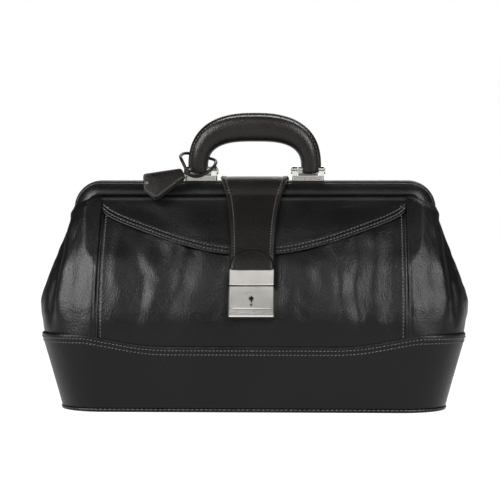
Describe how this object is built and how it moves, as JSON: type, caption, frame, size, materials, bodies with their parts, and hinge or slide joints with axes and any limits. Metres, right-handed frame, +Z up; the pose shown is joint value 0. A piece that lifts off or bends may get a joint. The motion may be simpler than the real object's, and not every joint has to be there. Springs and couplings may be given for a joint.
{
  "type": "doctor bag",
  "caption": "Hinge-framed black leather doctor bag with a top handle, closure strap with a nickel lock, front flap pocket and a key fob on a lace.",
  "frame": {"origin": "on the ground, under the middle of the frame's hinge line", "axes": "+X along the bag to the right as its front is faced, -Y is the front with the lock, +Z is up"},
  "size_m": [0.403, 0.1942, 0.2764],
  "materials": {
    "black_leather": "smooth, glossy black calf",
    "strap_leather": "smooth, semi-gloss brownish black",
    "handle_leather": "stuffed and stitched, glossy black",
    "fob_leather": "smooth black",
    "lining_cloth": "plain woven cotton",
    "fibre_board": "pressed fibre board",
    "frame_steel": "plain steel",
    "nickel": "polished and satin nickel plate"
  },
  "bodies": {
    "bag": {"sole": "black_leather", "base_band": "black_leather", "base_tray": "fibre_board", "front_wall": "black_leather", "pocket_panel": "black_leather", "rear_panel": "black_leather", "left_gusset": "black_leather", "right_gusset": "black_leather", "front_seam_welts": "black_leather", "rear_seam_welts": "black_leather", "lining": "lining_cloth", "front_frame": "frame_steel", "front_frame_cover": "black_leather", "left_hinge_pin": "frame_steel", "right_hinge_pin": "frame_steel", "lock_case": "nickel", "lock_rivets": "nickel", "lock_springs": "frame_steel", "lock_washer": "nickel", "left_handle_bracket": "nickel", "right_handle_bracket": "nickel", "left_handle_pin": "nickel", "right_handle_pin": "nickel", "lace": "fob_leather", "lace_knot": "fob_leather"},
    "rear_jaw": {"rear_frame": "frame_steel", "rear_frame_cover": "black_leather", "rear_yoke": "black_leather", "rear_yoke_welts": "black_leather", "left_gusset_fold": "black_leather", "right_gusset_fold": "black_leather", "strap_anchor": "strap_leather"},
    "strap_root": {"strap_fold": "strap_leather"},
    "strap_end": {"strap": "strap_leather", "strap_tab": "strap_leather", "hasp": "nickel"},
    "pocket_flap": {"flap": "black_leather"},
    "handle": {"handle_core": "frame_steel", "handle_grip": "handle_leather"},
    "lock_pad": {"lock_slide": "nickel"},
    "key_cam": {"lock_cam": "nickel"},
    "bolt": {"lock_bolt": "nickel"},
    "key_fob": {"fob_back": "fob_leather", "fob_front": "fob_leather", "fob_seam": "fob_leather", "fob_stud": "nickel", "key": "nickel"}
  },
  "joints": [
    {"name": "rear_frame_open", "type": "hinge", "parent": "bag", "child": "rear_jaw", "pos_m": [0, 0, 0.125], "axis": [-1, 0, 0], "range_deg": [0, 66], "deforming": ["rear_yoke", "rear_yoke_welts", "left_gusset_fold", "right_gusset_fold", "strap_anchor"]},
    {"name": "strap_turn", "type": "hinge", "parent": "rear_jaw", "child": "strap_root", "pos_m": [0, 0.015, 0.2129], "axis": [-1, 0, 0], "range_deg": [0, 13.2], "deforming": ["strap_fold"]},
    {"name": "strap_lift", "type": "hinge", "parent": "strap_root", "child": "strap_end", "pos_m": [0, 0.006, 0.2129], "axis": [-1, 0, 0], "range_deg": [0, 50], "deforming": ["strap", "strap_tab"]},
    {"name": "flap_lift", "type": "hinge", "parent": "bag", "child": "pocket_flap", "pos_m": [0, -0.02676, 0.1972], "axis": [-1, 0, 0], "range_deg": [0, 16]},
    {"name": "handle_fold", "type": "hinge", "parent": "bag", "child": "handle", "pos_m": [0, -0.011, 0.2213], "axis": [1, 0, 0], "range_deg": [-80, 80], "deforming": ["lace", "lace_knot"]},
    {"name": "lock_press", "type": "slide", "parent": "bag", "child": "lock_pad", "axis": [0, -0.3386, -0.9409], "range_m": [0, 0.0022], "deforming": ["lock_springs"]},
    {"name": "key_turn", "type": "hinge", "parent": "bag", "child": "key_cam", "pos_m": [0, -0.08748, 0.10246], "axis": [0, -0.9409, 0.3386], "range_deg": [0, 90]},
    {"name": "bolt_throw", "type": "slide", "parent": "bag", "child": "bolt", "axis": [0, 0.3386, 0.9409], "range_m": [0, 0.0033]},
    {"name": "fob_swing", "type": "hinge", "parent": "bag", "child": "key_fob", "pos_m": [-0.066, -0.026, 0.2175], "axis": [0, -0.866, 0.5], "range_deg": [-24, 0]}
  ],
  "couplings": [
    {"joint": "strap_turn", "follows": "rear_frame_open", "ratio": 0.2},
    {"joint": "flap_lift", "follows": "strap_lift", "ratio": 0.32}
  ]
}
